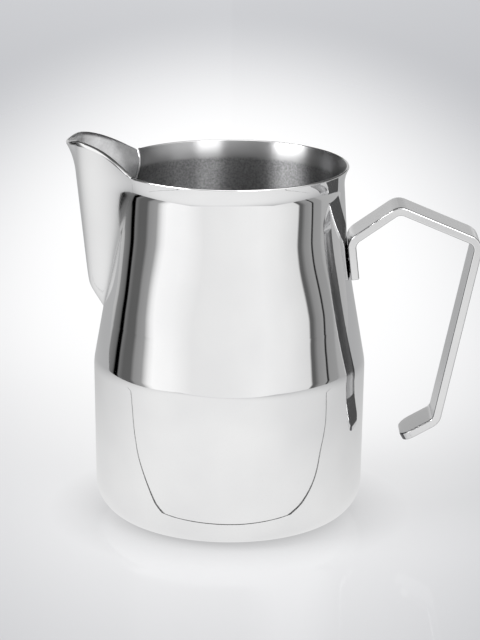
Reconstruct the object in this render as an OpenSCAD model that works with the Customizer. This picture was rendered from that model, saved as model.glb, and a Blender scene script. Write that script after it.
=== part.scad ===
// Milk frothing pitcher: a drawn steel cup, a spout welded into its wall and a bent bar handle.
// Millimetres. The base stands on z = 0, the spout points to -X and the handle to +X.

/* [Cup] */
// Height of the rim above the surface that the pitcher stands on
rim_height = 112; // [106:1:120]
// Outside diameter at the shoulder, the widest place
shoulder_diameter = 85; // [82:0.5:90]
// How much narrower the lower wall is at the base than at the shoulder, in diameter
foot_taper = 1.2; // [0:0.1:4]
// Height of the shoulder
shoulder_height = 49.5; // [44:0.5:54]
// Outside diameter where the lines of neck and flared rim meet
neck_diameter = 70.2; // [67:0.2:72]
// How much wider the rim is there than the neck, in diameter
rim_flare = 3.6; // [1:0.1:5]
// Height of the rim above that meeting place
rim_band = 3.4; // [2.8:0.1:6]
// Height of the bend between the wall above the shoulder and the straight neck
waist_height = 81.7; // [70:0.1:92]
// Slope of the neck below the flare, in degrees from upright
neck_slope = 3.6; // [2:0.2:5]
// Outside radius of the corner between base and wall
base_corner_radius = 11; // [6:0.5:14]
// Outside radius of the bend at the shoulder
shoulder_radius = 18; // [8:1:30]
// Radius of the hollow sweep between shoulder and neck
waist_radius = 200; // [80:5:240]
// Outside radius of the hollow that turns the neck into the flared rim
crease_radius = 10; // [2:0.5:12]
// Thickness of the sheet
wall = 0.8; // [0.6:0.05:1.2]

/* [Spout] */
// Width of the opening for the spout at the rim
spout_width = 44.5; // [36:0.5:47]
// Height of the lowest point of that opening
spout_foot = 65; // [60:0.5:72]
// Radius of the rounded lower end of that opening
spout_foot_radius = 6.8; // [5:0.2:8]
// Distance from the rim to the keel of the spout at the height of the rim
keel_run = 11.2; // [9:0.1:16]
// Slope of the keel, in degrees from upright
keel_slope = 6; // [4:0.1:9]
// Slope of the chin under the keel, in degrees from upright
chin_slope = 33; // [25:1:45]
// Radius-like softness of the corner between chin and keel
chin_softness = 0.9; // [0.6:0.1:2]
// Rise of the spout's lip above the rim
lip_rise = 8.6; // [5:0.1:11]
// How far the tip bends outwards past the keel
beak_reach = 2; // [0.5:0.1:3]
// How far the tip dips below the crest of the lip
beak_drop = 1.5; // [0.5:0.1:2.5]
// Width of the weld seam round the opening
seam_width = 1.2; // [0.8:0.1:2]
// Clearance between the spout's edge and the seam
seam_clearance = 0.05; // [0.03:0.01:0.1]

/* [Handle] */
// Width of the flat bar
bar_width = 15; // [11:0.5:18]
// Thickness of the flat bar
bar_thickness = 2.5; // [1.8:0.1:3]
// Inside radius of the bends
bend_radius = 2.5; // [1.5:0.1:4]
// Distance from the rim down to the bend at the top of the tab
tab_drop = 23; // [15:0.5:30]
// Length of the tab below that bend
tab_length = 12; // [10.5:0.1:18]
// Distance from the tab to the peak of the handle
peak_run = 14.6; // [10:0.1:20]
// Rise of the peak above the tab's bend
peak_rise = 10.3; // [4:0.1:18]
// Distance from the tab to the rear corner of the handle
rear_run = 39.6; // [32:0.1:50]
// Drop of the rear corner below the peak
rear_drop = 10.4; // [4:0.1:18]
// Distance from the tab to the lower bend
heel_run = 27.6; // [22:0.1:36]
// Drop of the lower bend below the rear corner
heel_drop = 57.6; // [48:0.1:64]
// Length of the free end after the lower bend
toe_length = 12.3; // [9:0.1:15]
// Slope of the free end, in degrees below level
toe_slope = 29.5; // [15:0.5:45]
// Radius of the free end's two corners
toe_corner_radius = 4; // [1:0.5:5]
// Depth to which the cup's curve is formed into the tab
saddle_depth = 0.35; // [0.2:0.05:0.6]
// Gap between tab and cup, bridged by the spot welds
weld_gap = 0.2; // [0.1:0.05:0.4]
// Diameter of a spot weld
spot_diameter = 4; // [3:0.1:4.4]
// Depth to which a spot weld reaches into each sheet
spot_depth = 0.5; // [0.2:0.05:0.55]

/* [Hidden] */
$fn = 96;
steel = [0.82, 0.82, 0.83];
satin_steel = [0.72, 0.72, 0.73];
seam_steel = [0.76, 0.76, 0.77];
// Chords along each rounded stretch of an outline, and along the spout's girth and height
arc_steps = 12;
girth_steps = 16;
height_steps = 30;
// Length that cutting shapes run past what they cut
overrun = 5;
// Most that a rounded corner may take up of a leg beside it, and of a leg that ends the path
leg_share = 0.48;
end_share = 0.95;

// Plane geometry

function unit(v) = v / norm(v);
function left_of(v) = [-v[1], v[0]];
function cross_2d(a, b) = a[0] * b[1] - a[1] * b[0];
function meet(p, d, q, e) = p + d * cross_2d(q - p, e) / cross_2d(d, e);

// Corner q of the path p, q, s, with both legs moved to their left by inset
function inset_corner(p, q, s, inset) =
    let (d = unit(q - p), e = unit(s - q))
    meet(q + left_of(d) * inset, d, q + left_of(e) * inset, e);

// Points of an arc that rounds corner q of the path p, q, s, limited by the legs beside it
function rounded_corner(p, q, s, radius, after = leg_share, steps = arc_steps) =
    let (
        d = unit(q - p),
        e = unit(s - q),
        side = sign(cross_2d(d, e)),
        turn = acos(d * e),
        reach = min(radius * tan(turn / 2), leg_share * norm(q - p), after * norm(s - q)),
        start = q - d * reach,
        centre = start + left_of(d) * side * reach / tan(turn / 2)
    )
    [for (i = [0 : steps])
        let (a = side * turn * i / steps, arm = start - centre)
        centre + [arm[0] * cos(a) - arm[1] * sin(a), arm[0] * sin(a) + arm[1] * cos(a)]];

// Outline of the cup as [radius, height] points

crease_height = rim_height - rim_band;
rim_radius = (neck_diameter + rim_flare) / 2;
shoulder_point = [shoulder_diameter / 2, shoulder_height];
crease_point = [neck_diameter / 2, crease_height];
waist_point = [crease_point[0] + (crease_height - waist_height) * tan(neck_slope), waist_height];
cup_path = [
    [0, 0],
    [(shoulder_diameter - foot_taper) / 2, 0],
    shoulder_point,
    waist_point,
    crease_point,
    [rim_radius, rim_height]];
// Radius of each inner corner of that path, and its sign: 1 bulges outwards, -1 is hollow
cup_radii = [0, base_corner_radius, shoulder_radius, waist_radius, crease_radius];
cup_bulges = [0, 1, 1, -1, -1];
rim_direction = unit(cup_path[5] - cup_path[4]);
// How far the sheet stops short of that path's end, so that its rounded edge tops out at the rim
rim_retreat = wall / 2 * (1 + left_of(rim_direction)[1]) / rim_direction[1];

function inset_path(inset) = concat(
    [[0, inset]],
    [for (i = [1 : 4]) inset_corner(cup_path[i - 1], cup_path[i], cup_path[i + 1], inset)],
    [cup_path[5] + left_of(rim_direction) * inset - rim_direction * rim_retreat]);

// From the middle of the base, round the corner and up the wall to the rim
function cup_outline(inset) =
    let (path = inset_path(inset))
    concat(
        [path[0]],
        [for (i = [1 : 4]) each
            rounded_corner(path[i - 1], path[i], path[i + 1], cup_radii[i] - cup_bulges[i] * inset,
                i == 4 ? end_share : leg_share)],
        [path[5]]);

outer_outline = cup_outline(0);
radius_by_height = [for (p = outer_outline) if (p[1] > base_corner_radius) [p[1], p[0]]];
function cup_radius(z) = lookup(z, radius_by_height);

// Half circle that rounds the edge of the rim, from outside to inside
function rim_round() =
    let (centre = inset_path(wall / 2)[5], start = atan2(-rim_direction[0], rim_direction[1]))
    [for (i = [1 : arc_steps - 1])
        let (a = start + 180 * i / arc_steps)
        centre + wall / 2 * [cos(a), sin(a)]];

// Opening for the spout, as half a width by height

foot_centre = spout_foot + spout_foot_radius;
opening_rise = rim_height - foot_centre;
opening_lean = atan(spout_width / 2 / opening_rise)
    - asin(spout_foot_radius / norm([spout_width / 2, opening_rise]));

function opening_half(z, inset) =
    let (
        r = spout_foot_radius - inset,
        tangent_z = foot_centre - r * sin(opening_lean),
        depth = max(0, r * r - (z - foot_centre) * (z - foot_centre))
    )
    z < tangent_z ? sqrt(depth) : r * cos(opening_lean) + (z - tangent_z) * tan(opening_lean);

module opening_outline(inset) {
    r = spout_foot_radius - inset;
    low_angle = 90 - opening_lean;
    top = rim_height + overrun;
    polygon(concat(
        [for (i = [-arc_steps : arc_steps])
            let (a = low_angle * i / arc_steps)
            [r * sin(a), foot_centre - r * cos(a)]],
        [[opening_half(top, inset), top], [-opening_half(top, inset), top]]));
}

// Straight cut through the wall on the spout's side
module opening_cut(inset) {
    rotate([90, 0, -90])
        linear_extrude(shoulder_diameter)
            opening_outline(inset);
}

// Cup

module cup_sheet() {
    rotate_extrude()
        polygon(concat(outer_outline, rim_round(), [for (i = [len(outer_outline) - 1 : -1 : 0])
            cup_outline(wall)[i]]));
}

// Height where the rim's flare begins, at the tangent point of its hollow
flare_turn = neck_slope + atan(rim_flare / 2 / rim_band);
flare_start = crease_height - crease_radius * tan(flare_turn / 2);

// Outside radius of the wall at height z as if the neck ran on without a flare
function neck_radius(z) =
    z < flare_start ? cup_radius(z) : crease_point[0] + (crease_height - z) * tan(neck_slope);

// How far the flare stands out there, running on straight above the rim
flare_end = rim_height - wall;
flare_growth = rim_flare / 2 / rim_band + tan(neck_slope);
function flare(z) =
    z < flare_start ? 0
    : cup_radius(min(z, flare_end)) - neck_radius(min(z, flare_end)) + max(0, z - flare_end) * flare_growth;

// Everything inside the cup's outer face, moved inwards by inset, up to where the rim's flare begins
module cup_core(inset) {
    rotate_extrude()
        polygon(concat(
            [for (p = cup_outline(inset)) if (p[1] < flare_start - overrun / 2) p],
            [[cup_radius(flare_start) - inset, flare_start], [0, flare_start]]));
}

module pitcher_body() {
    color(steel)
        difference() {
            cup_sheet();
            opening_cut(0);
            spot_welds();
        }
}

module spout_weld_seam() {
    color(seam_steel)
        difference() {
            intersection() {
                cup_sheet();
                opening_cut(0);
            }
            opening_cut(seam_width);
        }
}

// Spout: a sheet swept between the opening's edges and the keel

spout_inset = seam_width + seam_clearance;
// The sheet starts a little above the opening's lowest point, so that its foot has a width
foot_start = 0.1;
spout_bottom = spout_foot + spout_inset + foot_start;

function soft_min(a, b, softness) = (a + b - sqrt((a - b) * (a - b) + softness * softness)) / 2;

// Distance from the axis to the keel at height z
function keel(z) = soft_min(
    cup_radius(spout_bottom) + (z - spout_bottom) * tan(chin_slope),
    rim_radius + keel_run + (z - rim_height) * tan(keel_slope),
    chin_softness);

// Height of the lip at share t of the way from the tip, 0, to the rim, 1
lip_flatness = 3.5;
lip_landing = 1.15;
function lip_height(t) =
    rim_height - wall / 2 + lip_rise * pow(1 - pow(t, lip_flatness), lip_landing);

// Share of the tip's outward and downward bend at a place on the spout
beak_share = 0.25;
beak_start = 0.8;
function beak(t, v) =
    t > beak_share || v < beak_start ? 0
    : pow(1 - pow(t / beak_share, 2), 2) * pow((v - beak_start) / (1 - beak_start), 2);

// Fullness of the spout's nose, and of its sweep into the wall at the foot and at the rim
nose_share = 0.56;
sweep_at_foot = 0.35;
sweep_at_rim = 0.9;

// How fast the rim's flare fades from the spout's edges towards its keel
flare_fading = 3;

// Outer face of the spout: t runs from -1 to 1 across it, v from 0 at the foot to 1 at the lip
function spout_face(t, v) =
    let (
        a = abs(t),
        z = spout_bottom + v * (lip_height(a) - spout_bottom),
        half = opening_half(z, spout_inset),
        r = neck_radius(z) + flare(z) * pow(a, flare_fading),
        azimuth = asin(half / r),
        sweep = sweep_at_foot
            + (sweep_at_rim - sweep_at_foot) * (z - spout_foot) / (rim_height - spout_foot),
        p0 = [-keel(z), 0],
        p1 = [-keel(z), nose_share * half],
        p3 = [-r * cos(azimuth), half],
        p2 = p3 - sweep * half * [sin(azimuth), cos(azimuth)],
        b = 1 - a,
        p = b * b * b * p0 + 3 * b * b * a * p1 + 3 * b * a * a * p2 + a * a * a * p3
    )
    [p[0] - beak_reach * beak(a, v), sign(t) * p[1], z - beak_drop * beak(a, v)];

// Step for measuring the direction of the face
probe = 0.004;
function spout_normal(t, v) =
    let (
        along_t = spout_face(min(1, t + probe), v) - spout_face(max(-1, t - probe), v),
        along_v = spout_face(t, min(1, v + probe)) - spout_face(t, max(0, v - probe))
    )
    unit(cross(along_v, along_t));

// Inner face: one sheet thickness inside, and square to the seam at the sides and the foot
edge_power = 8;
foot_power = 40;
function spout_inner(t, v) =
    let (
        p = spout_face(t, v),
        r = norm([p[0], p[1]]),
        edge_step = -p[0] - sqrt(pow(r - wall, 2) - p[1] * p[1]),
        share = max(pow(abs(t), edge_power), pow(1 - v, foot_power))
    )
    p - wall * (1 - share) * spout_normal(t, v) + share * [edge_step, 0, 0];

// Rows of the grid crowd towards the foot, where the sheet is narrow
row_crowding = 1.5;
function row_share(j) = pow(j / height_steps, row_crowding);

module pouring_spout() {
    columns = 2 * girth_steps + 1;
    rows = height_steps + 1;
    outer = [for (j = [0 : height_steps]) for (i = [-girth_steps : girth_steps])
        spout_face(i / girth_steps, row_share(j))];
    inner = [for (j = [0 : height_steps]) for (i = [-girth_steps : girth_steps])
        spout_inner(i / girth_steps, row_share(j))];
    count = len(outer);
    last = columns - 1;
    top = (rows - 1) * columns;
    outer_faces = [for (j = [0 : rows - 2]) for (i = [0 : columns - 2])
        let (k = j * columns + i)
        each [[k, k + 1, k + columns + 1], [k, k + columns + 1, k + columns]]];
    inner_faces = [for (f = outer_faces) [f[2] + count, f[1] + count, f[0] + count]];
    side_faces = [for (j = [0 : rows - 2])
        let (k = j * columns, m = k + last)
        each [[k, k + columns, k + columns + count], [k, k + columns + count, k + count],
            [m + columns, m, m + count], [m + columns, m + count, m + columns + count]]];
    end_faces = [for (i = [0 : columns - 2])
        each [[i + 1, i, i + count], [i + 1, i + count, i + 1 + count],
            [top + i, top + i + 1, top + i + 1 + count], [top + i, top + i + 1 + count, top + i + count]]];
    color(steel)
        polyhedron(concat(outer, inner), concat(outer_faces, inner_faces, side_faces, end_faces));
}

// Handle

// Distance from the axis to the bar's middle where the tab lies on the cup
function tab_reach(z) = cup_radius(z) + weld_gap - saddle_depth + bar_thickness / 2;

// Middle line of the bar in the plane y = 0, as [x, z] corners
tab_top = rim_height - tab_drop;
tab_bottom = tab_top - tab_length;
tab_point = [tab_reach(tab_top), tab_top];
rear_point = tab_point + [rear_run, peak_rise - rear_drop];
heel_point = [tab_point[0] + heel_run, rear_point[1] - heel_drop];
toe_point = heel_point - toe_length * [cos(toe_slope), sin(toe_slope)];
handle_path = [
    [tab_reach(tab_bottom), tab_bottom],
    tab_point,
    tab_point + [peak_run, peak_rise],
    rear_point,
    heel_point,
    toe_point];
handle_end = len(handle_path) - 1;
middle_radius = bend_radius + bar_thickness / 2;

function leg(i) = unit(handle_path[i + 1] - handle_path[i]);
function turn_side(i) = sign(cross_2d(leg(i - 1), leg(i)));

// One face of the bar, to the left of its middle line by shift
function bar_face(shift) =
    let (path = concat(
        [handle_path[0] + left_of(leg(0)) * shift],
        [for (i = [1 : handle_end - 1])
            inset_corner(handle_path[i - 1], handle_path[i], handle_path[i + 1], shift)],
        [toe_point + left_of(leg(handle_end - 1)) * shift]))
    concat(
        [path[0]],
        [for (i = [1 : handle_end - 1]) each
            rounded_corner(path[i - 1], path[i], path[i + 1], middle_radius - turn_side(i) * shift)],
        [path[handle_end]]);

module bar_outline() {
    left_face = bar_face(bar_thickness / 2);
    right_face = bar_face(-bar_thickness / 2);
    polygon(concat(left_face, [for (i = [len(right_face) - 1 : -1 : 0]) right_face[i]]));
}

// Waste outside one rounded corner of the free end, in the plane of its broad face
module toe_waste() {
    difference() {
        square(toe_corner_radius + overrun);
        circle(r = toe_corner_radius);
    }
}

module toe_rounding() {
    translate([toe_point[0], 0, toe_point[1]])
        rotate([0, 180 - toe_slope, 0])
            for (side = [-1, 1])
                translate([-toe_corner_radius, side * (bar_width / 2 - toe_corner_radius), 0])
                    mirror([0, side < 0 ? 1 : 0, 0])
                        linear_extrude(2 * overrun, center = true)
                            toe_waste();
}

module bar_handle() {
    color(satin_steel)
        difference() {
            rotate([90, 0, 0])
                linear_extrude(bar_width, center = true)
                    bar_outline();
            toe_rounding();
            cup_core(-weld_gap);
            spot_welds();
        }
}

// Spot welds on the middle line of the tab, one in each half of its flat length

module spot_welds() {
    flat_length = tab_length - middle_radius * tan(acos(leg(0) * leg(1)) / 2);
    intersection() {
        difference() {
            cup_core(-weld_gap - spot_depth);
            cup_core(spot_depth);
        }
        for (quarter = [1, 3])
            translate([0, 0, tab_bottom + flat_length * quarter / 4])
                rotate([0, 90, 0])
                    cylinder(d = spot_diameter, h = shoulder_diameter);
    }
}

module handle_spot_welds() {
    color(seam_steel)
        spot_welds();
}

pitcher_body();
pouring_spout();
spout_weld_seam();
bar_handle();
handle_spot_welds();
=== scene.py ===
import math

import bmesh
import bpy
from mathutils import Matrix, Vector


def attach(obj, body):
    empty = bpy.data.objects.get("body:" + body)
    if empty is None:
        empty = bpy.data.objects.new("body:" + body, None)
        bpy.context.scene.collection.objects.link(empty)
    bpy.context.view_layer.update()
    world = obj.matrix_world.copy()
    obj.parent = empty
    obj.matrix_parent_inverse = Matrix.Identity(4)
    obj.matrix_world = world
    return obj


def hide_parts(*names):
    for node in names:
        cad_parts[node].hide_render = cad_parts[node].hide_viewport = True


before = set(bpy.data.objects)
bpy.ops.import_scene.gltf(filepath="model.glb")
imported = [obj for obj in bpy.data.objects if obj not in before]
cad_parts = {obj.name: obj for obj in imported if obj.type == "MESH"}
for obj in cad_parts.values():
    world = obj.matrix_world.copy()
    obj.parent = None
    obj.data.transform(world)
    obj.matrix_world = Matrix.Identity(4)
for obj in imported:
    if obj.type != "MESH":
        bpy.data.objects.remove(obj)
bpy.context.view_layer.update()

MM = 0.001

# Sizes of the cup
rim_height = 112 * MM
shoulder_radius = 42.5 * MM
foot_radius = 41.9 * MM
shoulder_height = 49.5 * MM
neck_radius = 35.1 * MM
rim_radius = 36.9 * MM
rim_band = 3.4 * MM
waist_height = 81.7 * MM
neck_slope = math.radians(3.6)
base_corner = 11 * MM
shoulder_bend = 18 * MM
waist_bend = 200 * MM
flare_bend = 10 * MM
wall = 0.8 * MM
rim_short = 0.3 * MM
lip_rounding = 0.34 * MM

# Sizes of the spout and of the weld round its opening
spout_half_width = 22.25 * MM
spout_foot = 65 * MM
spout_foot_radius = 6.8 * MM
keel_reach = 48.1 * MM
keel_slope = math.radians(6)
chin_slope = math.radians(33)
chin_softness = 0.9 * MM
lip_rise = 8.6 * MM
beak_reach = 2 * MM
beak_drop = 1.5 * MM
beak_share = 0.25
beak_start = 0.8
nose_share = 0.56
sweep_at_foot = 0.35
sweep_at_rim = 0.9
flare_fading = 3
seam_width = 1.2 * MM
seam_clearance = 0.05 * MM
foot_start = 0.1 * MM

# Sizes of the handle
bar_width = 15 * MM
bar_thickness = 2.5 * MM
bend_radius = 2.5 * MM
tab_top = 89 * MM
tab_bottom = 77 * MM
peak_run = 14.6 * MM
peak_rise = 10.3 * MM
rear_run = 39.6 * MM
rear_rise = -0.1 * MM
heel_run = 27.6 * MM
heel_drop = 57.6 * MM
toe_length = 12.3 * MM
toe_slope = math.radians(29.5)
toe_corner = 4 * MM
edge_easing = 1 * MM
saddle_depth = 0.35 * MM
weld_gap = 0.2 * MM

# Camera, as far from the axis and as high as the photograph was taken from
camera_distance = 0.8
camera_height = 0.2875
camera_pitch = math.radians(15.75)
camera_yaw = math.radians(0.2335)
camera_roll = math.radians(0.45)
focal_length = 149.06
sensor_size = 36
camera_sight = 50


# Plane geometry

def rounded_corner(before, corner, after, radius, steps):
    """Points of the arc that rounds one corner of a path."""
    into = (corner - before).normalized()
    out = (after - corner).normalized()
    turn = into.angle(out)
    side = 1 if into.x * out.y - into.y * out.x > 0 else -1
    start = corner - into * radius * math.tan(turn / 2)
    centre = start + Vector((-into.y, into.x)) * side * radius
    arm = start - centre
    points = []
    for step in range(steps + 1):
        points.append(centre + Matrix.Rotation(side * turn * step / steps, 2) @ arm)
    return points


def spaced(first, last, count):
    """Evenly spaced values from first to last."""
    return [first + (last - first) * step / count for step in range(count + 1)]


# Outline of the cup's outer face

crease = Vector((neck_radius, rim_height - rim_band))
rim = Vector((rim_radius, rim_height))
rim_direction = (rim - crease).normalized()
rim_end = rim - rim_direction * rim_short
waist = Vector((crease.x + (crease.y - waist_height) * math.tan(neck_slope), waist_height))
shoulder = Vector((shoulder_radius, shoulder_height))
foot = Vector((foot_radius, 0))
middle = Vector((0, 0))

base_steps = 24
bend_steps = 64
flare_steps = 32
base_arc = rounded_corner(middle, foot, shoulder, base_corner, base_steps)
wall_outline = [base_arc[-1]]
wall_outline += rounded_corner(foot, shoulder, waist, shoulder_bend, bend_steps)
wall_outline += rounded_corner(shoulder, waist, crease, waist_bend, bend_steps)
wall_outline += rounded_corner(waist, crease, rim, flare_bend, flare_steps)
wall_outline.append(rim)


def cup_radius(height):
    """Outer radius of the cup's wall at a height."""
    for low, high in zip(wall_outline, wall_outline[1:]):
        if height <= high.y:
            share = (height - low.y) / (high.y - low.y)
            return low.x + share * (high.x - low.x)
    return rim_radius


rim_slope = (rim_radius - neck_radius) / rim_band
flare_slope = rim_slope + math.tan(neck_slope)
flare_turn = neck_slope + math.atan(rim_slope)
flare_start = crease.y - flare_bend * math.tan(flare_turn / 2)
flare_end = rim_height - wall


def plain_neck_radius(height):
    """Outer radius of the wall as if the neck ran on without a flare."""
    if height < flare_start:
        return cup_radius(height)
    return crease.x + (crease.y - height) * math.tan(neck_slope)


def flare(height):
    """How far the flare stands out from the plain neck, running on straight above the rim."""
    if height < flare_start:
        return 0
    there = min(height, flare_end)
    return cup_radius(there) - plain_neck_radius(there) + max(0, height - flare_end) * flare_slope


def wall_tilt(height):
    """Upward tilt of the wall's outer face at a height, as a slope."""
    step = 0.05 * MM
    low = min(height, rim_height - step)
    return (cup_radius(low) - cup_radius(low + step)) / step


def inside_of(point):
    """Place on the cup's inner face, straight behind a place on its outer face."""
    tilt = wall_tilt(point.z)
    shrink = 1 - wall / math.sqrt(1 + tilt * tilt) / math.hypot(point.x, point.y)
    drop = wall * tilt / math.sqrt(1 + tilt * tilt)
    return Vector((point.x * shrink, point.y * shrink, point.z - drop))


# Opening for the spout, as half a width by height

foot_centre = spout_foot + spout_foot_radius
opening_rise = rim_height - foot_centre
opening_lean = math.atan(spout_half_width / opening_rise) - math.asin(
    spout_foot_radius / math.hypot(spout_half_width, opening_rise))


def opening_half(height, inset):
    """Half the opening's width at a height, with its edge moved in by inset."""
    radius = spout_foot_radius - inset
    tangent = foot_centre - radius * math.sin(opening_lean)
    if height >= tangent:
        return radius * math.cos(opening_lean) + (height - tangent) * math.tan(opening_lean)
    return math.sqrt(max(0, radius ** 2 - (height - foot_centre) ** 2))


# Helpers for pieces

sharp_angle = math.radians(40)
lip_segments = 4


def finish_piece(name, bm, materials, node):
    """Turns a bmesh into a smooth shaded piece that stands for a CAD node."""
    bmesh.ops.recalc_face_normals(bm, faces=bm.faces)
    for face in bm.faces:
        face.smooth = True
    for edge in bm.edges:
        if len(edge.link_faces) == 2:
            edge.smooth = edge.calc_face_angle() < sharp_angle
    mesh = bpy.data.meshes.new(name)
    bm.to_mesh(mesh)
    bm.free()
    for material in materials:
        mesh.materials.append(material)
    piece = bpy.data.objects.new(name, mesh)
    bpy.context.scene.collection.objects.link(piece)
    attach(piece, "root")
    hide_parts(node)
    return piece


def round_edges(bm, edges, amount, segments):
    """Rounds edges by an amount, in so many facets."""
    bmesh.ops.bevel(bm, geom=edges, offset=amount, offset_type="OFFSET", affect="EDGES",
                    segments=segments, profile=0.5, material=-1, clamp_overlap=True)


def ring_edges(faces):
    """Edges between a band of faces and the faces beside it."""
    band = set(faces)
    edges = set()
    for face in band:
        for edge in face.edges:
            if any(other not in band for other in edge.link_faces):
                edges.add(edge)
    return list(edges)


# Materials

# Range that a noise value mostly keeps to
noise_low = 0.3
noise_high = 0.7
# Colour sockets of a Mix node
first_colour = 6
second_colour = 7
mixed_colour = 2


def new_material(name):
    """A material with its nodes, their links and its main shader."""
    material = bpy.data.materials.new(name)
    material.use_nodes = True
    nodes = material.node_tree.nodes
    return material, nodes, material.node_tree.links, nodes["Principled BSDF"]


def stretched_noise(nodes, links, stretch, detail):
    """Noise on the piece's own coordinates, stretched to lines or clouds."""
    place = nodes.new("ShaderNodeTexCoord")
    mapping = nodes.new("ShaderNodeMapping")
    mapping.inputs["Scale"].default_value = stretch
    noise = nodes.new("ShaderNodeTexNoise")
    noise.inputs["Scale"].default_value = 1
    noise.inputs["Detail"].default_value = detail
    links.new(place.outputs["Object"], mapping.inputs["Vector"])
    links.new(mapping.outputs["Vector"], noise.inputs["Vector"])
    return noise.outputs["Fac"]


def spread(nodes, links, value, low, high):
    """Maps a noise value to the range from low to high."""
    mapper = nodes.new("ShaderNodeMapRange")
    mapper.inputs["From Min"].default_value = noise_low
    mapper.inputs["From Max"].default_value = noise_high
    mapper.inputs["To Min"].default_value = low
    mapper.inputs["To Max"].default_value = high
    links.new(value, mapper.inputs["Value"])
    return mapper.outputs["Result"]


def shades(nodes, links, value, dark, light):
    """Two shades of a colour, chosen by a noise value."""
    ramp = nodes.new("ShaderNodeValToRGB")
    ramp.color_ramp.elements[0].position = noise_low
    ramp.color_ramp.elements[0].color = (*dark, 1)
    ramp.color_ramp.elements[1].position = noise_high
    ramp.color_ramp.elements[1].color = (*light, 1)
    links.new(value, ramp.inputs["Fac"])
    return ramp.outputs["Color"]


def bumps(nodes, links, value, depth, below=None):
    """Normals of a bumpy surface, on top of the bumps below it."""
    bump = nodes.new("ShaderNodeBump")
    bump.inputs["Distance"].default_value = depth
    links.new(value, bump.inputs["Height"])
    if below is not None:
        links.new(below, bump.inputs["Normal"])
    return bump.outputs["Normal"]


def math_node(nodes, links, operation, first, second=None):
    """Result of a sum whose values are sockets or numbers."""
    node = nodes.new("ShaderNodeMath")
    node.operation = operation
    for socket, value in zip(node.inputs, (first, second)):
        if isinstance(value, (int, float)):
            socket.default_value = value
        elif value is not None:
            links.new(value, socket)
    return node.outputs["Value"]


def mixed(nodes, links, factor, first, second):
    """Mix of two colours, each of them a socket or four numbers."""
    node = nodes.new("ShaderNodeMix")
    node.data_type = "RGBA"
    links.new(factor, node.inputs["Factor"])
    for index, colour in ((first_colour, first), (second_colour, second)):
        if isinstance(colour, tuple):
            node.inputs[index].default_value = colour
        else:
            links.new(colour, node.inputs[index])
    return node.outputs[mixed_colour]


def eased(nodes, links, value, low, high):
    """Share that climbs softly from 0 to 1 while a value climbs from low to high."""
    node = nodes.new("ShaderNodeMapRange")
    node.interpolation_type = "SMOOTHSTEP"
    node.inputs["From Min"].default_value = low
    node.inputs["From Max"].default_value = high
    links.new(value, node.inputs["Value"])
    return node.outputs["Result"]


# Noise scales of the steel's grains, along x, y and z
round_lines = (30, 30, 2600)
bar_lines = (14, 1500, 14)
pits = (1500, 1500, 1500)
inside_lines = (300, 300, 2600)
slow_waves = (34, 34, 34)
grain_detail = 3
cloud_detail = 2
wave_detail = 0
sheet_wave = 1.2 * MM


def steel(name, dark, light, rough, grain, grain_depth, wave_depth=0, patches=45, speckle=0.003):
    """Steel with a fine grain, faint speckles and the slow waviness of a drawn sheet."""
    material, nodes, links, shader = new_material(name)
    shader.inputs["Metallic"].default_value = 1
    fine = stretched_noise(nodes, links, grain, grain_detail)
    clouds = stretched_noise(nodes, links, (patches, patches, patches), cloud_detail)
    dots = stretched_noise(nodes, links, pits, cloud_detail)
    waves = stretched_noise(nodes, links, slow_waves, wave_detail)
    tone = nodes.new("ShaderNodeVectorMath")
    tone.operation = "SCALE"
    links.new(shades(nodes, links, clouds, dark, light), tone.inputs[0])
    links.new(spread(nodes, links, dots, 1 - speckle, 1 + speckle), tone.inputs["Scale"])
    links.new(tone.outputs["Vector"], shader.inputs["Base Color"])
    links.new(spread(nodes, links, fine, *rough), shader.inputs["Roughness"])
    wave_normal = bumps(nodes, links, waves, wave_depth)
    links.new(bumps(nodes, links, fine, grain_depth, wave_normal), shader.inputs["Normal"])
    return material


quarter_turn = 0.25
polish_fading = 1.5 * MM


def brushed_round(material, amount):
    """Makes a steel gleam in upright bands, as one does that was brushed round the axis."""
    nodes = material.node_tree.nodes
    links = material.node_tree.links
    shader = nodes["Principled BSDF"]
    place = nodes.new("ShaderNodeTexCoord")
    around = nodes.new("ShaderNodeVectorMath")
    around.operation = "CROSS_PRODUCT"
    around.inputs[0].default_value = (0, 0, 1)
    links.new(place.outputs["Object"], around.inputs[1])
    even = nodes.new("ShaderNodeVectorMath")
    even.operation = "NORMALIZE"
    links.new(around.outputs["Vector"], even.inputs[0])
    links.new(even.outputs["Vector"], shader.inputs["Tangent"])
    shader.inputs["Anisotropic"].default_value = amount
    shader.inputs["Anisotropic Rotation"].default_value = quarter_turn


def polished_above(material, height, rough, colour):
    """Makes a steel smoother and lighter above a height, where the rim was polished; the lighter
    colour there also paints less shade than lower in the cup.
    """
    nodes = material.node_tree.nodes
    links = material.node_tree.links
    shader = nodes["Principled BSDF"]
    satin = shader.inputs["Roughness"].links[0].from_socket
    shade = shader.inputs["Base Color"].links[0].from_socket
    place = nodes.new("ShaderNodeTexCoord")
    split = nodes.new("ShaderNodeSeparateXYZ")
    links.new(place.outputs["Object"], split.inputs["Vector"])
    share = eased(nodes, links, split.outputs["Z"], height, height + polish_fading)
    mix = nodes.new("ShaderNodeMix")
    mix.data_type = "FLOAT"
    links.new(share, mix.inputs["Factor"])
    links.new(satin, mix.inputs["A"])
    mix.inputs["B"].default_value = rough
    links.new(mix.outputs["Result"], shader.inputs["Roughness"])
    tint = mixed(nodes, links, share, shade, (*colour, 1))
    links.new(tint, shader.inputs["Base Color"])


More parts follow.
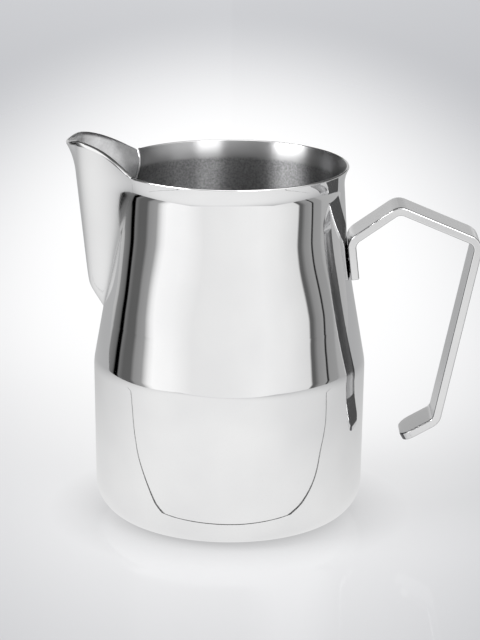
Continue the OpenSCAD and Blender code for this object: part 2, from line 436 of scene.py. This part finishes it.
polished = steel(
    "polished_steel", dark=(0.84, 0.84, 0.845), light=(0.89, 0.89, 0.89), rough=(0.02, 0.05),
    grain=round_lines, grain_depth=0.0004 * MM, wave_depth=sheet_wave)
spout_outside = steel(
    "buffed_steel_spout", dark=(0.83, 0.83, 0.835), light=(0.88, 0.88, 0.88), rough=(0.08, 0.13),
    grain=pits, grain_depth=0.0005 * MM, wave_depth=sheet_wave)
spout_inside = steel(
    "satin_steel_spout", dark=(0.6, 0.6, 0.605), light=(0.86, 0.86, 0.865), rough=(0.3, 0.42),
    grain=pits, grain_depth=0.001 * MM, patches=150, speckle=0.06)
# Steel of the cup's inside with a satin grain, its colour far darker than the outer steel: painted
# shade of the hollow
satin_inside_painted_shade = steel(
    "satin_steel_inside_painted_shade", dark=(0.26, 0.26, 0.265), light=(0.32, 0.32, 0.325), rough=(0.4, 0.5),
    grain=inside_lines, grain_depth=0.008 * MM, speckle=0.25)
brushed_round(satin_inside_painted_shade, amount=1)
polished_above(satin_inside_painted_shade, flare_start, rough=0.33, colour=(0.46, 0.46, 0.465))
satin_bar = steel(
    "satin_steel_bar", dark=(0.78, 0.78, 0.785), light=(0.86, 0.86, 0.865), rough=(0.14, 0.2),
    grain=bar_lines, grain_depth=0.0006 * MM)
# Dark steel for part of the bar's rounding: a painted dark reflection line along the bar's edges
painted_dark_reflection_line = steel(
    "steel_bar_painted_dark_reflection_line", dark=(0.1, 0.1, 0.105), light=(0.18, 0.18, 0.185), rough=(0.2, 0.3),
    grain=pits, grain_depth=0.0006 * MM)
bar_edge = steel(
    "polished_steel_bar_edge", dark=(0.75, 0.75, 0.755), light=(0.8, 0.8, 0.8), rough=(0.06, 0.1),
    grain=pits, grain_depth=0.0006 * MM)
ground_weld = steel(
    "ground_weld_steel", dark=(0.82, 0.82, 0.825), light=(0.88, 0.88, 0.88), rough=(0.05, 0.1),
    grain=round_lines, grain_depth=0.0006 * MM, wave_depth=sheet_wave)
tinted_weld = steel(
    "tinted_weld_steel", dark=(0.06, 0.06, 0.062), light=(0.12, 0.118, 0.115), rough=(0.35, 0.5),
    grain=pits, grain_depth=0.001 * MM)


# Cup: its outline spun round the axis from the spout's side, opened there and given its thickness

spin_steps = 240
base_rings = 6
merge_distance = 0.001 * MM
lip_facing = 0.8
# Bands of rows up the wall: the height where each ends, and its number of rows
lower_bands = [(shoulder_height - 3 * MM, 14), (shoulder_height + 3 * MM, 30), (spout_foot, 8)]
upper_bands = [(105.5 * MM, 24), (rim_end.y, 20)]
# Rows crowd together just above the foot of the opening, where its edge turns fastest
crowded_rise = 8 * MM
crowded_rows = 18


def add_rows(heights, bands):
    """Adds evenly spaced heights up to the end of each band."""
    for end, count in bands:
        heights += spaced(heights[-1], end, count)[1:]


base_rows = [Vector((radius, 0)) for radius in spaced(0, base_arc[0].x, base_rings)]
row_heights = [base_arc[-1].y]
add_rows(row_heights, lower_bands)
crowding = spaced(0, 1, crowded_rows)[1:]
row_heights += [spout_foot + crowded_rise * share ** 2 for share in crowding]
add_rows(row_heights, upper_bands)
wall_rows = [Vector((cup_radius(height), height)) for height in row_heights[1:]]
cup_rows = base_rows + base_arc[1:] + wall_rows


def open_for_spout(point, turn):
    """Moves a place round the axis, so that the opening's edge is where the spin began."""
    radius = math.hypot(point.x, point.y)
    if point.z <= spout_foot or radius == 0:
        return
    edge = math.asin(opening_half(point.z, 0) / radius)
    angle = edge + turn * (1 - edge / math.pi)
    point.x = -radius * math.cos(angle)
    point.y = radius * math.sin(angle)


def make_cup():
    """The cup with its opening and its rounded lip."""
    bm = bmesh.new()
    turns = bm.verts.layers.float.new("turn")
    profile = [bm.verts.new((-row.x, 0, row.y)) for row in cup_rows]
    edges = [bm.edges.new(pair) for pair in zip(profile, profile[1:])]
    bmesh.ops.spin(bm, geom=profile + edges, cent=(0, 0, 0), axis=(0, 0, -1),
                   angle=2 * math.pi, steps=spin_steps, use_merge=False)
    bm.verts.index_update()
    rows = len(cup_rows)
    for index, vert in enumerate(bm.verts):
        vert[turns] = 2 * math.pi * (index // rows) / spin_steps
    for vert in bm.verts:
        open_for_spout(vert.co, vert[turns])
    bmesh.ops.remove_doubles(bm, verts=bm.verts, dist=merge_distance)
    bmesh.ops.recalc_face_normals(bm, faces=bm.faces)
    base_face = min(bm.faces, key=lambda face: face.calc_center_median().length)
    if base_face.normal.z > 0:
        bmesh.ops.reverse_faces(bm, faces=bm.faces)
    bmesh.ops.solidify(bm, geom=bm.faces[:], thickness=wall)
    bm.normal_update()
    lip = [face for face in bm.faces
           if face.calc_center_median().z > rim_end.y and face.normal.z > lip_facing]
    round_edges(bm, ring_edges(lip), lip_rounding, lip_segments)
    centre = Vector((0, 0, rim_height / 2))
    bm.normal_update()
    for face in bm.faces:
        inward = face.normal.dot(face.calc_center_median() - centre) < 0
        face.material_index = 1 if inward else 0
    materials = [polished, satin_inside_painted_shade]
    finish_piece("cup_shell", bm, materials, "pitcher_body")


# Weld round the opening, ground flush with the cup

seam_bend_share = 0.3
bead_height = 0.3 * MM
seam_columns = 100
seam_rows = 8
inward_facing = 0.3


def seam_place(along, inset):
    """Place on the weld's outer face: along runs from -1 to 1 round the opening."""
    radius = spout_foot_radius - inset
    tangent = foot_centre - radius * math.sin(opening_lean)
    share = abs(along)
    if share < seam_bend_share:
        angle = (math.pi / 2 - opening_lean) * share / seam_bend_share
        half = radius * math.sin(angle)
        height = foot_centre - radius * math.cos(angle)
    else:
        height = tangent + (rim_end.y - tangent) * (share - seam_bend_share) / (1 - seam_bend_share)
        half = opening_half(height, inset)
    radius_there = cup_radius(height)
    side = math.copysign(half, along)
    return Vector((-math.sqrt(radius_there ** 2 - half ** 2), side, height))


def make_seam():
    """The weld, flush outside and a little proud inside."""
    bm = bmesh.new()
    bmesh.ops.create_grid(bm, x_segments=seam_columns, y_segments=seam_rows, size=1)
    across = bm.verts.layers.float.new("across")
    for vert in bm.verts:
        vert[across] = vert.co.y
        vert.co = seam_place(vert.co.x, seam_width * (vert.co.y + 1) / 2)
    sheet = bm.faces[:]
    grown = bmesh.ops.extrude_face_region(bm, geom=sheet, use_keep_orig=True)["geom"]
    for vert in grown:
        if isinstance(vert, bmesh.types.BMVert):
            inner = inside_of(vert.co)
            bead = 1 + bead_height / wall * (1 - vert[across] ** 2)
            vert.co = vert.co + (inner - vert.co) * bead
    bmesh.ops.recalc_face_normals(bm, faces=bm.faces)
    for face in bm.faces:
        inward = face.normal.x > inward_facing
        face.material_index = 1 if inward else 0
    materials = [ground_weld, satin_inside_painted_shade]
    finish_piece("weld_seam", bm, materials, "spout_weld_seam")


# Spout: a sheet between the weld and the keel

spout_inset = seam_width + seam_clearance
spout_bottom = spout_foot + spout_inset + foot_start
lip_flatness = 3.5
lip_landing = 1.15
row_crowding = 1.5
edge_power = 8
foot_power = 40
spout_columns = 96
spout_rows = 110
lip_share = 0.999


def keel(height):
    """Distance from the axis to the keel at a height."""
    chin = cup_radius(spout_bottom) + (height - spout_bottom) * math.tan(chin_slope)
    front = keel_reach + (height - rim_height) * math.tan(keel_slope)
    return (chin + front - math.hypot(chin - front, chin_softness)) / 2


def lip_height(share):
    """Height of the lip at a share of the way from the tip to the rim."""
    return rim_height - wall / 2 + lip_rise * (1 - share ** lip_flatness) ** lip_landing


def beak(share, up):
    """How much of the tip's bend a place on the spout takes part in."""
    if share > beak_share or up < beak_start:
        return 0
    across = (1 - (share / beak_share) ** 2) ** 2
    return across * ((up - beak_start) / (1 - beak_start)) ** 2


def spout_face(across, up):
    """Outer face: across runs from -1 to 1, up from 0 at the foot to 1 at the lip."""
    share = abs(across)
    height = spout_bottom + up * (lip_height(share) - spout_bottom)
    half = opening_half(height, spout_inset)
    radius = plain_neck_radius(height) + flare(height) * share ** flare_fading
    azimuth = math.asin(half / radius)
    climb = (height - spout_foot) / (rim_height - spout_foot)
    sweep = sweep_at_foot + (sweep_at_rim - sweep_at_foot) * climb
    nose = Vector((-keel(height), 0))
    cheek = Vector((-keel(height), nose_share * half))
    edge = Vector((-radius * math.cos(azimuth), half))
    sweep_in = edge - Vector((math.sin(azimuth), math.cos(azimuth))) * sweep * half
    rest = 1 - share
    place = (nose * rest ** 3 + cheek * 3 * rest ** 2 * share
             + sweep_in * 3 * rest * share ** 2 + edge * share ** 3)
    bend = beak(share, up)
    side = math.copysign(place.y, across)
    return Vector((place.x - beak_reach * bend, side, height - beak_drop * bend))


def spout_normal(across, up):
    """Direction that the outer face points in."""
    probe = 0.004
    along = spout_face(min(1, across + probe), up) - spout_face(max(-1, across - probe), up)
    rise = spout_face(across, min(1, up + probe)) - spout_face(across, max(0, up - probe))
    return rise.cross(along).normalized()


def spout_inner(across, up):
    """Inner face: one sheet thickness inside, and square to the weld at the sides and the foot."""
    place = spout_face(across, up)
    share = max(abs(across) ** edge_power, (1 - up) ** foot_power)
    straight = inside_of(place) - place
    return place - spout_normal(across, up) * wall * (1 - share) + straight * share


def make_spout():
    """The spout with its rounded lip."""
    bm = bmesh.new()
    bmesh.ops.create_grid(bm, x_segments=spout_columns, y_segments=spout_rows, size=1)
    across = bm.verts.layers.float.new("across")
    up = bm.verts.layers.float.new("up")
    for vert in bm.verts:
        vert[across] = max(-1, min(1, vert.co.x))
        vert[up] = max(0, min(1, (vert.co.y + 1) / 2)) ** row_crowding
    grown = bmesh.ops.extrude_face_region(bm, geom=bm.faces[:], use_keep_orig=True)["geom"]
    inner = set(item for item in grown if isinstance(item, bmesh.types.BMVert))
    for vert in bm.verts:
        shape = spout_inner if vert in inner else spout_face
        vert.co = shape(vert[across], vert[up])
    inner_faces = [item for item in grown if isinstance(item, bmesh.types.BMFace)]
    for face in inner_faces:
        face.material_index = 1
    lip = [face for face in bm.faces
           if all(vert[up] > lip_share for vert in face.verts)]
    round_edges(bm, ring_edges(lip), lip_rounding, lip_segments)
    materials = [spout_outside, spout_inside]
    finish_piece("spout_sheet", bm, materials, "pouring_spout")


# Handle: the side outline of a bent bar, drawn out to its width

def tab_reach(height):
    """Distance from the axis to the middle of the tab at a height."""
    return cup_radius(height) + weld_gap - saddle_depth + bar_thickness / 2


tab_point = Vector((tab_reach(tab_top), tab_top))
rear_point = tab_point + Vector((rear_run, rear_rise))
heel_point = Vector((tab_point.x + heel_run, rear_point.y - heel_drop))
toe_point = heel_point - Vector((math.cos(toe_slope), math.sin(toe_slope))) * toe_length
bar_path = [
    Vector((tab_reach(tab_bottom), tab_bottom)),
    tab_point,
    tab_point + Vector((peak_run, peak_rise)),
    rear_point,
    heel_point,
    toe_point,
]
bar_bend_steps = 20
toe_segments = 10
edge_segments = 6
sharp_edge = math.radians(50)
saddle_half_width = 6 * MM
saddle_strips = 8
tab_margin = 1 * MM
# How far sideways a face of the bar's rounding points where the painted dark reflection line begins
# and ends
line_start = 0.1
line_end = 0.7


def shifted_corner(before, corner, after, shift):
    """Corner of a path whose two legs are moved to their left."""
    into = (corner - before).normalized()
    out = (after - corner).normalized()
    half_turn = into.angle(out) / 2
    bisector = (Vector((-into.y, into.x)) + Vector((-out.y, out.x))).normalized()
    return corner + bisector * shift / math.cos(half_turn)


def bar_side(shift):
    """One broad face of the bar seen from the side."""
    into = (bar_path[1] - bar_path[0]).normalized()
    out = (bar_path[-1] - bar_path[-2]).normalized()
    path = [bar_path[0] + Vector((-into.y, into.x)) * shift]
    for before, corner, after in zip(bar_path, bar_path[1:], bar_path[2:]):
        path.append(shifted_corner(before, corner, after, shift))
    path.append(bar_path[-1] + Vector((-out.y, out.x)) * shift)
    points = [path[0]]
    for index in range(1, len(path) - 1):
        into = bar_path[index] - bar_path[index - 1]
        out = bar_path[index + 1] - bar_path[index]
        side = 1 if into.x * out.y - into.y * out.x > 0 else -1
        radius = bend_radius + bar_thickness / 2 - side * shift
        points += rounded_corner(path[index - 1], path[index], path[index + 1],
                                 radius, bar_bend_steps)
    points.append(path[-1])
    return points


def at_toe(vert):
    """Whether a corner of the bar is at its free end."""
    return math.hypot(vert.co.x - toe_point.x, vert.co.z - toe_point.y) < bar_thickness


def make_handle():
    """The bent bar with its rounded toe, its saddle on the neck and its eased edges."""
    bm = bmesh.new()
    outline = bar_side(bar_thickness / 2) + bar_side(-bar_thickness / 2)[::-1]
    face = bm.faces.new([bm.verts.new((point.x, -bar_width / 2, point.y)) for point in outline])
    grown = bmesh.ops.extrude_face_region(bm, geom=[face], use_keep_orig=True)["geom"]
    bmesh.ops.translate(bm, vec=(0, bar_width, 0),
                        verts=[item for item in grown if isinstance(item, bmesh.types.BMVert)])
    bmesh.ops.recalc_face_normals(bm, faces=bm.faces)
    side_edges = [edge for edge in bm.edges if edge.verts[0].co.y == edge.verts[1].co.y]
    corners = [edge for edge in side_edges if all(at_toe(vert) for vert in edge.verts)]
    round_edges(bm, corners, toe_corner, toe_segments)
    for place in spaced(-saddle_half_width, saddle_half_width, saddle_strips):
        bmesh.ops.bisect_plane(bm, geom=bm.verts[:] + bm.edges[:] + bm.faces[:],
                               plane_co=(0, place, 0), plane_no=(0, 1, 0))
    for vert in bm.verts:
        if vert.co.z > tab_bottom - tab_margin and vert.co.x < tab_point.x + bar_thickness:
            clear = cup_radius(vert.co.z) + weld_gap
            vert.co.x = max(vert.co.x, math.sqrt(clear ** 2 - vert.co.y ** 2))
    bm.normal_update()
    edges = [edge for edge in bm.edges
             if len(edge.link_faces) == 2 and edge.calc_face_angle() > sharp_edge]
    round_edges(bm, edges, edge_easing, edge_segments)
    bm.normal_update()
    # Faces of the rounding that point between line_start and line_end sideways get the painted dark
    # reflection line
    for face in bm.faces:
        sideways = abs(face.normal.y)
        if sideways > line_end:
            face.material_index = 1
        elif sideways > line_start:
            face.material_index = 2
    materials = [satin_bar, bar_edge, painted_dark_reflection_line]
    piece = finish_piece("handle_bar", bm, materials, "bar_handle")
    weighted = piece.modifiers.new("even_normals", "WEIGHTED_NORMAL")
    weighted.keep_sharp = True


make_cup()
make_seam()
make_spout()
make_handle()

# The welds between tab and cup keep their CAD shape
spot_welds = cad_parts["handle_spot_welds"]
spot_welds.data.materials.clear()
spot_welds.data.materials.append(tinted_weld)


# Floor: pale, with a pool of light that it gives itself; only its middle shows in the steel

middle_half_width = 0.36
middle_front = -0.42
middle_back = 1.2
floor_half = 5
# The pool as the camera sees it
pool_centre = (0, 0.3126)
pool_size = (0.27566, 0.95018)
pool_fading = (0.28, 0.8)
floor_edge_colour = (0.43, 0.437, 0.46, 1)
floor_pool_colour = (0.93, 0.93, 0.935, 1)
own_shine = 0.84
# The pool as the steel mirrors it
mirror_pool_centre = (-0.07, -0.2)
mirror_pool_size = (0.7, 0.56)
mirror_pool_fading = (0.15, 0.85)
mirror_edge_colour = (0.45, 0.452, 0.456, 1)
mirror_pool_colour = (0.92, 0.92, 0.92, 1)
mirror_shine = 0.96
contact_reach = 18 * MM
contact_darkness = 0.4
floor_gloss = 0.06
floor_roughness = 0.03


def pool_of_light(nodes, links, centre, size, fading, edge_colour, middle_colour):
    """A colour that is brightest at one place of the floor and fades away from it."""
    place = nodes.new("ShaderNodeTexCoord")
    mapping = nodes.new("ShaderNodeMapping")
    mapping.vector_type = "TEXTURE"
    mapping.inputs["Location"].default_value = (*centre, 0)
    mapping.inputs["Scale"].default_value = (*size, 1)
    pool = nodes.new("ShaderNodeTexGradient")
    pool.gradient_type = "SPHERICAL"
    ramp = nodes.new("ShaderNodeValToRGB")
    ramp.color_ramp.interpolation = "EASE"
    stops = zip(ramp.color_ramp.elements, fading, (edge_colour, middle_colour))
    for element, position, colour in stops:
        element.position = position
        element.color = colour
    links.new(place.outputs["Object"], mapping.inputs["Vector"])
    links.new(mapping.outputs["Vector"], pool.inputs["Vector"])
    links.new(pool.outputs["Fac"], ramp.inputs["Fac"])
    return ramp.outputs["Color"]


def make_floor_material():
    """Pale floor that darkens where the pitcher rests and hardly mirrors."""
    material, nodes, links, shader = new_material("pale_floor")
    shown = pool_of_light(nodes, links, pool_centre, pool_size, pool_fading,
                          floor_edge_colour, floor_pool_colour)
    mirrored = pool_of_light(nodes, links, mirror_pool_centre, mirror_pool_size, mirror_pool_fading,
                             mirror_edge_colour, mirror_pool_colour)
    ray = nodes.new("ShaderNodeLightPath")
    by_camera = ray.outputs["Is Camera Ray"]
    by_steel = ray.outputs["Is Glossy Ray"]
    colour = mixed(nodes, links, by_camera, mirrored, shown)
    own = math_node(nodes, links, "MULTIPLY", by_camera, own_shine)
    mirror = math_node(nodes, links, "MULTIPLY", by_steel, mirror_shine)
    contact = nodes.new("ShaderNodeAmbientOcclusion")
    contact.inputs["Distance"].default_value = contact_reach
    resting = nodes.new("ShaderNodeMapRange")
    resting.inputs["To Min"].default_value = 1 - contact_darkness
    links.new(contact.outputs["AO"], resting.inputs["Value"])
    shaded = math_node(nodes, links, "MULTIPLY", own, resting.outputs["Result"])
    shine = math_node(nodes, links, "ADD", shaded, mirror)
    links.new(colour, shader.inputs["Emission Color"])
    links.new(shine, shader.inputs["Emission Strength"])
    unshaded = math_node(nodes, links, "ADD", own, mirror)
    paint = nodes.new("ShaderNodeVectorMath")
    paint.operation = "SCALE"
    links.new(colour, paint.inputs[0])
    links.new(math_node(nodes, links, "SUBTRACT", 1, unshaded), paint.inputs["Scale"])
    links.new(paint.outputs["Vector"], shader.inputs["Base Color"])
    not_by_steel = math_node(nodes, links, "SUBTRACT", 1, by_steel)
    gloss = math_node(nodes, links, "MULTIPLY", not_by_steel, floor_gloss)
    links.new(gloss, shader.inputs["Specular IOR Level"])
    shader.inputs["Roughness"].default_value = floor_roughness
    return material


def stage_piece(name, bm, material):
    """Turns a bmesh into a piece of the stage."""
    mesh = bpy.data.meshes.new(name)
    bm.to_mesh(mesh)
    bm.free()
    mesh.materials.append(material)
    piece = bpy.data.objects.new(name, mesh)
    bpy.context.scene.collection.objects.link(piece)
    return piece


def flat_piece(name, low, high, material):
    """A flat rectangle of the stage."""
    bm = bmesh.new()
    left, front = low
    right, back = high
    corners = [(left, front, 0), (right, front, 0), (right, back, 0), (left, back, 0)]
    bm.faces.new([bm.verts.new(corner) for corner in corners])
    return stage_piece(name, bm, material)


pale_floor = make_floor_material()
middle_low = (-middle_half_width, middle_front)
middle_high = (middle_half_width, middle_back)
flat_piece("floor_middle", middle_low, middle_high, pale_floor)
floor_rest = [
    ("floor_left", (-floor_half, -floor_half), (-middle_half_width, floor_half)),
    ("floor_right", (middle_half_width, -floor_half), (floor_half, floor_half)),
    ("floor_front", (-middle_half_width, -floor_half), (middle_half_width, middle_front)),
    ("floor_back", (-middle_half_width, middle_back), (middle_half_width, floor_half)),
]
for name, low, high in floor_rest:
    flat_piece(name, low, high, pale_floor).visible_glossy = False


# Dark strip lying on the floor just in front of the pitcher: only its mirror image shows, a painted
# dark reflected line in the steel

strip_place = -52 * MM
strip_width = 1.4 * MM
strip_half_length = 200 * MM
strip_bend = 480 * MM
strip_lift = 0.05 * MM
strip_steps = 48
strip_roughness = 0.9
strip_patches = (60, 60, 60)
strip_dark = (0.01, 0.01, 0.01)
strip_light = (0.04, 0.04, 0.04)


def make_mirrored_strip_material():
    """Dark strip with tones that differ at random, clear from below: it paints a dark reflection in
    the steel.
    """
    material, nodes, links, shader = new_material("dark_strip_painted_reflection")
    strip_tones = stretched_noise(nodes, links, strip_patches, cloud_detail)
    links.new(shades(nodes, links, strip_tones, strip_dark, strip_light), shader.inputs["Base Color"])
    shader.inputs["Roughness"].default_value = strip_roughness
    side = nodes.new("ShaderNodeNewGeometry")
    clear = nodes.new("ShaderNodeBsdfTransparent")
    mix = nodes.new("ShaderNodeMixShader")
    links.new(side.outputs["Backfacing"], mix.inputs["Fac"])
    links.new(shader.outputs["BSDF"], mix.inputs[1])
    links.new(clear.outputs["BSDF"], mix.inputs[2])
    links.new(mix.outputs["Shader"], nodes["Material Output"].inputs["Surface"])
    return material


def make_mirrored_strip():
    """A narrow strip that curves away from the pitcher at both ends."""
    bm = bmesh.new()
    bmesh.ops.create_grid(bm, x_segments=strip_steps, y_segments=1, size=1)
    bmesh.ops.scale(bm, vec=(strip_half_length, strip_width / 2, 1), verts=bm.verts)
    for vert in bm.verts:
        vert.co.y += strip_place + vert.co.x ** 2 / (2 * strip_bend)
        vert.co.z = strip_lift
    return stage_piece("dark_strip_seen_only_in_steel", bm, make_mirrored_strip_material())


mirrored_strip = make_mirrored_strip()
mirrored_strip.visible_camera = False
mirrored_strip.visible_diffuse = False
mirrored_strip.visible_shadow = False


# Light: a soft white surround with dark flags at both sides and two soft boxes above

# Each list goes round the horizon: degrees from the camera's side, positive to its right,
# and the brightness there
left_side = [
    (-180, 0.85), (-150, 0.80), (-140, 0.58), (-126, 0.50), (-123, 0.22), (-112, 0.15),
    (-110, 0.06), (-109, 0), (-104, 0), (-102, 0.19), (-96, 0.12), (-86, 0.12), (-82, 0.30),
    (-74, 0.36), (-72, 0.60), (-68, 0.95), (-64, 1.10), (-47, 1.05), (-28, 0.90), (0, 0.93),
]
right_side = [
    (0, 0.93), (28, 0.98), (45, 0.92), (68, 0.78), (70, 0.12), (73, 0.12), (78, 0.28),
    (86.5, 0.35), (87, 0.02), (89, 0.02), (89.5, 0.32), (100, 0.35), (103, 0.45), (122, 0.48),
    (140, 0.52), (150, 0.75), (180, 0.85),
]
upper_side = [
    (-180, 0.08), (-100, 0.08), (-88, 0.30), (-46, 0.30), (-42, 0.20), (9, 0.20), (13, 0.30),
    (44, 1.0), (70, 1.0), (96, 0.50), (112, 0.08), (180, 0.08),
]
soft_boxes = [
    (-180, 0), (-93, 0), (-87, 10), (-70, 13), (-56, 13), (-48, 0), (8, 0), (14, 6), (36, 6),
    (42, 0), (180, 0),
]
high_side = [
    (-180, 0.10), (-114, 0.10), (-106, 0.25), (-84, 0.75), (-62, 1.0), (-56, 1.0), (-46, 0.6),
    (-38, 0.20), (-20, 0.20), (-4, 0.45), (8, 0.60), (16, 1.1), (32, 1.3), (44, 1.6), (70, 1.6),
    (96, 0.90), (116, 0.10), (180, 0.10),
]
top_front = (3.4, 3.4, 3.4, 1)
top_back = (0.12, 0.12, 0.12, 1)
top_turn = 0.3
backdrop_colour = (0.565, 0.572, 0.598, 1)
# The low flags narrow by this share for each degree above their level
flag_lean = 0.009
flag_level = math.radians(-11)


def height_at(angle):
    """Height on a ball of radius 1 of a direction that rises by an angle in degrees."""
    return math.sin(math.radians(angle))


upper_start = height_at(16)
upper_end = height_at(19)
box_start = height_at(25)
box_end = height_at(46)
box_fading = height_at(2)
high_start = height_at(34)
high_end = height_at(38)
top_start = height_at(62)
top_end = height_at(72)


def panels(nodes, links, azimuth, stops):
    """Brightness round the horizon, read from a list of stops."""
    first = stops[0][0]
    last = stops[-1][0]
    from_first = math_node(nodes, links, "SUBTRACT", azimuth, math.radians(first))
    share = math_node(nodes, links, "DIVIDE", from_first, math.radians(last - first))
    ramp = nodes.new("ShaderNodeValToRGB")
    ramp.color_ramp.interpolation = "LINEAR"
    elements = ramp.color_ramp.elements
    while len(elements) < len(stops):
        elements.new(0.5)
    for element, (angle, grey) in zip(elements, stops):
        element.position = (angle - first) / (last - first)
        element.color = (grey, grey, grey, 1)
    links.new(share, ramp.inputs["Fac"])
    return ramp.outputs["Color"]


def make_light():
    """The surround that the steel mirrors; the camera itself sees a plain backdrop."""
    world = bpy.data.worlds.new("studio")
    bpy.context.scene.world = world
    world.use_nodes = True
    nodes = world.node_tree.nodes
    links = world.node_tree.links
    place = nodes.new("ShaderNodeTexCoord")
    split = nodes.new("ShaderNodeSeparateXYZ")
    links.new(place.outputs["Generated"], split.inputs["Vector"])
    rise = split.outputs["Z"]
    ahead = math_node(nodes, links, "MULTIPLY", split.outputs["Y"], -1)
    azimuth = math_node(nodes, links, "ARCTAN2", split.outputs["X"], ahead)
    rise_angle = math_node(nodes, links, "ARCSINE", rise)
    above_level = math_node(nodes, links, "SUBTRACT", rise_angle, flag_level)
    narrowing = math_node(nodes, links, "MULTIPLY", above_level, math.degrees(flag_lean))
    width = math_node(nodes, links, "SUBTRACT", 1, narrowing)
    leaning = math_node(nodes, links, "MULTIPLY", azimuth, width)
    left = panels(nodes, links, leaning, left_side)
    right = panels(nodes, links, leaning, right_side)
    low = mixed(nodes, links, math_node(nodes, links, "GREATER_THAN", azimuth, 0), left, right)
    upper = panels(nodes, links, azimuth, upper_side)
    high = panels(nodes, links, azimuth, high_side)
    top = mixed(nodes, links, eased(nodes, links, ahead, -top_turn, top_turn), top_back, top_front)
    lower = mixed(nodes, links, eased(nodes, links, rise, upper_start, upper_end), low, upper)
    middle = mixed(nodes, links, eased(nodes, links, rise, high_start, high_end), lower, high)
    above = mixed(nodes, links, eased(nodes, links, rise, top_start, top_end), middle, top)
    opening = eased(nodes, links, rise, box_start, box_start + box_fading)
    closing = eased(nodes, links, rise, box_end, box_end + box_fading)
    boxes = nodes.new("ShaderNodeVectorMath")
    boxes.operation = "MULTIPLY_ADD"
    links.new(panels(nodes, links, azimuth, soft_boxes), boxes.inputs[0])
    links.new(math_node(nodes, links, "SUBTRACT", opening, closing), boxes.inputs[1])
    links.new(above, boxes.inputs[2])
    ray = nodes.new("ShaderNodeLightPath")
    surround = boxes.outputs["Vector"]
    shown = mixed(nodes, links, ray.outputs["Is Camera Ray"], surround, backdrop_colour)
    links.new(shown, nodes["Background"].inputs["Color"])


make_light()


# Camera

def make_camera():
    """Camera at the place, angle and focal length of the photograph."""
    data = bpy.data.cameras.new("camera")
    data.sensor_width = sensor_size
    data.lens = focal_length
    data.clip_end = camera_sight
    camera = bpy.data.objects.new("camera", data)
    bpy.context.scene.collection.objects.link(camera)
    turn = Matrix.Rotation(-camera_yaw, 4, "Z")
    tilt = Matrix.Rotation(math.pi / 2 - camera_pitch, 4, "X")
    roll = Matrix.Rotation(camera_roll, 4, "Z")
    place = Matrix.Translation((0, -camera_distance, camera_height))
    camera.matrix_world = place @ turn @ tilt @ roll
    bpy.context.scene.camera = camera


make_camera()
bpy.context.scene.view_settings.view_transform = "Standard"
